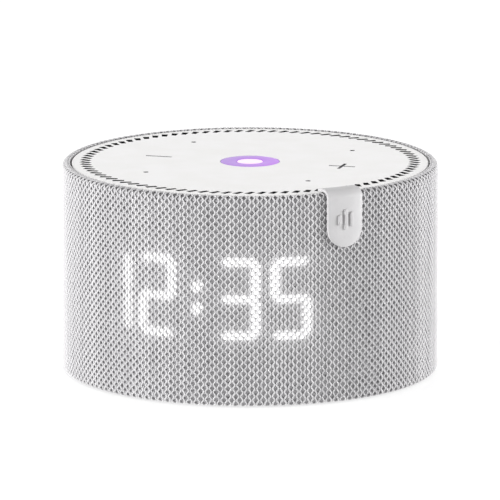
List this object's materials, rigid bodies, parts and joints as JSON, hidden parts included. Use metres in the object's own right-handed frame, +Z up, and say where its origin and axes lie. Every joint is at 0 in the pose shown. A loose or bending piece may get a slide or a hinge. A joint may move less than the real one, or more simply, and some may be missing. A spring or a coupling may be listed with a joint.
{
  "type": "smart speaker with clock",
  "caption": "Drum-shaped smart speaker in a light grey knit sleeve, with a lit segment clock behind the fabric, a vented touch panel on top and a hanging silicone tab.",
  "frame": {"origin": "on the surface that the speaker stands on, under the middle of its foot ring", "axes": "+Z up along the drum's axis; the clock faces -Y; the plus mark is on the +X side"},
  "size_m": [0.0988, 0.0988, 0.0561],
  "materials": {
    "knit_fabric": "light grey knitted spacer mesh",
    "white_plastic": "fine-textured moulded white",
    "black_plastic": "moulded black",
    "grey_plastic": "moulded mid grey",
    "acoustic_cloth": "dark woven cloth",
    "violet_lens": "translucent violet, lit from below",
    "clear_lens": "translucent white, lit from below",
    "silicone": "soft matt light grey silicone",
    "rubber": "matt dark rubber",
    "circuit": "green solder resist",
    "steel": "plated steel",
    "ferrite": "sintered dark grey",
    "cone_paper": "matt black pulp",
    "copper": "enamelled wire",
    "light_plastic": "white reflector plastic",
    "polyimide": "amber film and resin-dipped cloth"
  },
  "bodies": {
    "housing": {"base_cover": "black_plastic", "base_screw_1": "steel", "base_screw_2": "steel", "base_screw_3": "steel", "base_screw_4": "steel", "chamber_seal": "rubber", "chassis_cup": "black_plastic", "display_board": "circuit", "display_film": "light_plastic", "display_light_guide": "light_plastic", "display_ribbon": "polyimide", "fabric_sleeve": "knit_fabric", "foot_ring": "rubber", "grille_shell": "grey_plastic", "label_tab": "silicone", "light_core": "clear_lens", "light_cup": "light_plastic", "light_led_1": "light_plastic", "light_led_2": "light_plastic", "light_led_3": "light_plastic", "light_lens": "violet_lens", "main_board": "circuit", "mic_switch_body": "black_plastic", "microphone_1": "steel", "microphone_2": "steel", "microphone_3": "steel", "microphone_4": "steel", "microphone_gasket_1": "rubber", "microphone_gasket_2": "rubber", "microphone_gasket_3": "rubber", "microphone_gasket_4": "rubber", "power_socket": "steel", "rear_bezel": "white_plastic", "shield_can": "steel", "speaker_baffle": "black_plastic", "speaker_basket": "steel", "speaker_front_plate": "steel", "speaker_gasket": "rubber", "speaker_lead": "black_plastic", "speaker_magnet": "ferrite", "speaker_screw_1": "steel", "speaker_screw_2": "steel", "speaker_screw_3": "steel", "speaker_screw_4": "steel", "speaker_spider": "polyimide", "speaker_surround": "rubber", "speaker_yoke": "steel", "top_panel": "white_plastic", "top_ribbon": "polyimide", "touch_board": "circuit", "tray_screw_1": "steel", "tray_screw_2": "steel", "tray_screw_3": "steel", "tray_screw_4": "steel", "upper_tray": "black_plastic", "vent_mesh": "acoustic_cloth"},
    "diaphragm": {"speaker_cone": "cone_paper", "dust_cap": "cone_paper", "voice_coil": "copper"},
    "mic_switch": {"mic_slider": "white_plastic"}
  },
  "joints": [
    {"name": "diaphragm_travel", "type": "slide", "parent": "housing", "child": "diaphragm", "axis": [0, 0, 1], "range_m": [-0.0015, 0.0015], "stiffness_N_per_m": 1000, "deforming": ["speaker_surround", "speaker_spider"]},
    {"name": "mic_switch_slide", "type": "slide", "parent": "housing", "child": "mic_switch", "axis": [1, 0, 0], "range_m": [0, 0.003]}
  ]
}
